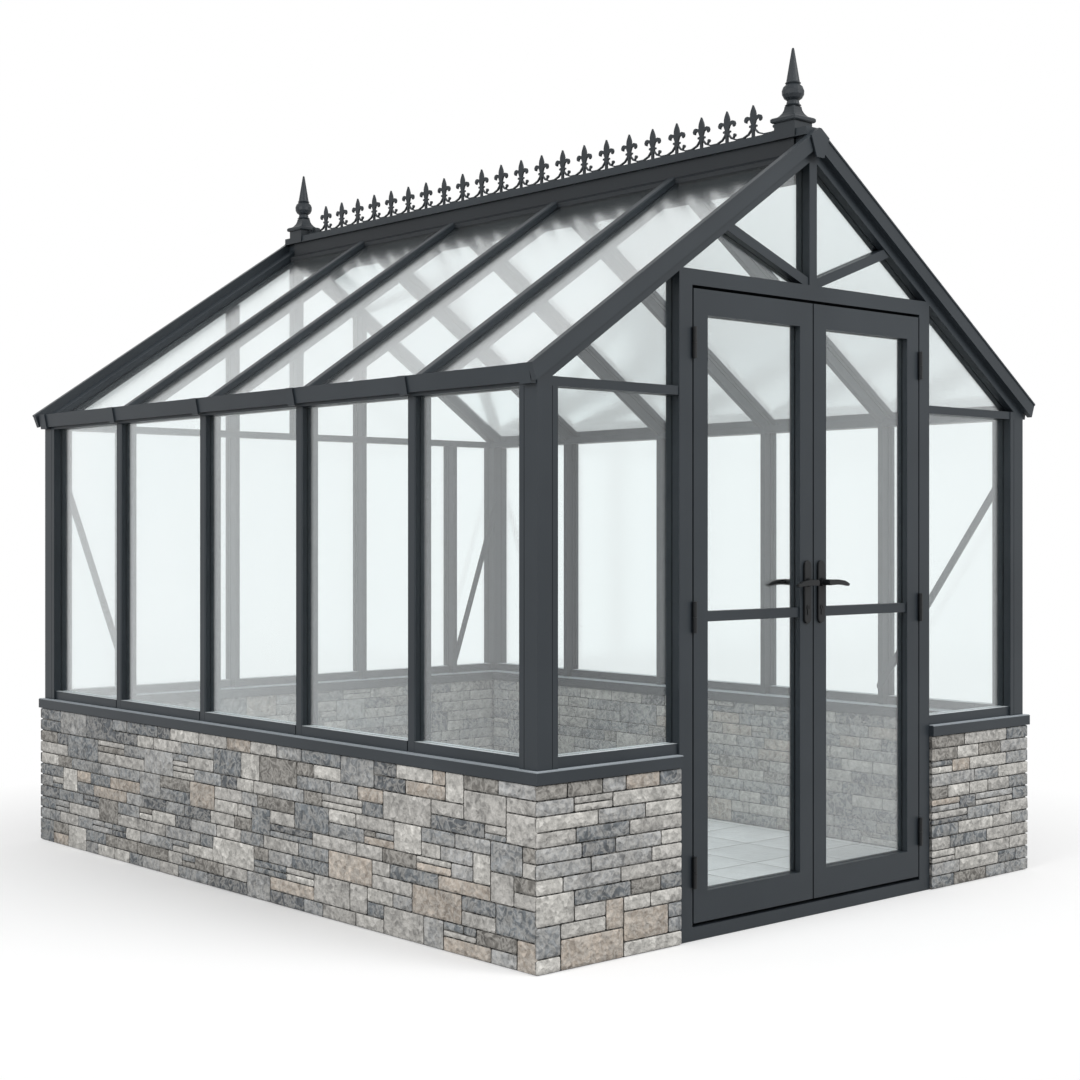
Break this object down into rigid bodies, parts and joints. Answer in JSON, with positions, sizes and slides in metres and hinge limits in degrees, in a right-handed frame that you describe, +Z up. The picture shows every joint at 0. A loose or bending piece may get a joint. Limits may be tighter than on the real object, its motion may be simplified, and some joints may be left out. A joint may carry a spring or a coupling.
{
  "type": "glass greenhouse with stone dwarf wall",
  "caption": "Pitched-roof glass greenhouse on a stone dwarf wall, with double doors in the gable, gutters, ridge cresting and finials.",
  "frame": {"origin": "centre of the footprint at ground level", "axes": "+X to the right along the door gable, +Y from the door gable to the back gable, +Z up"},
  "size_m": [2.5348, 3.1493, 2.8934],
  "materials": {
    "stone_wall": "split-face walling in mixed greys and creams",
    "paving": "honed light grey slabs",
    "frame": "satin anthracite powder coat",
    "ornament": "satin anthracite paint",
    "ironmongery": "satin black",
    "glass": "clear, very slightly blue-green"
  },
  "bodies": {
    "greenhouse": {"apex_plates": "frame", "back_gable_glass": "glass", "back_mullions": "frame", "back_tie_beam": "frame", "bargeboards": "frame", "base_rails": "frame", "braces": "frame", "cill_back": "frame", "cills_front": "frame", "cills_side": "frame", "corner_posts": "frame", "door_head": "frame", "door_post_hinges": "ironmongery", "door_posts": "frame", "door_stops": "frame", "dwarf_wall_back": "stone_wall", "dwarf_walls_front": "stone_wall", "dwarf_walls_side": "stone_wall", "eaves_beams": "frame", "finial_pedestals": "ornament", "finials": "ornament", "floor_slab": "paving", "front_gable_glass": "glass", "front_transoms": "frame", "gable_rafters": "frame", "gable_struts": "frame", "gutter_covers": "frame", "gutters": "frame", "king_posts": "frame", "ridge_beam": "frame", "ridge_cap": "frame", "ridge_cresting": "ornament", "roof_bars": "frame", "roof_glass": "glass", "side_glass": "glass", "side_mullions": "frame", "threshold": "frame", "verge_caps": "frame"},
    "left_door": {"left_door_glass": "glass", "left_door_handle_plates": "ironmongery", "left_door_hinges": "ironmongery", "left_door_rails": "frame", "left_door_stiles": "frame"},
    "right_door": {"right_door_glass": "glass", "right_door_handle_plates": "ironmongery", "right_door_hinges": "ironmongery", "right_door_rails": "frame", "right_door_stiles": "frame"},
    "left_lever": {"left_door_levers": "ironmongery"},
    "right_lever": {"right_door_levers": "ironmongery"}
  },
  "joints": [
    {"name": "left_door_hinge", "type": "hinge", "parent": "greenhouse", "child": "left_door", "pos_m": [-0.578, -1.5418, 1], "axis": [0, 0, -1], "range_deg": [0, 95]},
    {"name": "right_door_hinge", "type": "hinge", "parent": "greenhouse", "child": "right_door", "pos_m": [0.578, -1.5418, 1], "axis": [0, 0, 1], "range_deg": [0, 95]},
    {"name": "left_lever_turn", "type": "hinge", "parent": "left_door", "child": "left_lever", "pos_m": [-0.035, -1.5115, 1.103], "axis": [0, -1, 0], "range_deg": [0, 38], "stiffness_Nm_per_rad": 1.5, "springref_deg": -9.74},
    {"name": "right_lever_turn", "type": "hinge", "parent": "right_door", "child": "right_lever", "pos_m": [0.035, -1.5115, 1.103], "axis": [0, 1, 0], "range_deg": [0, 38], "stiffness_Nm_per_rad": 1.5, "springref_deg": -9.74}
  ]
}
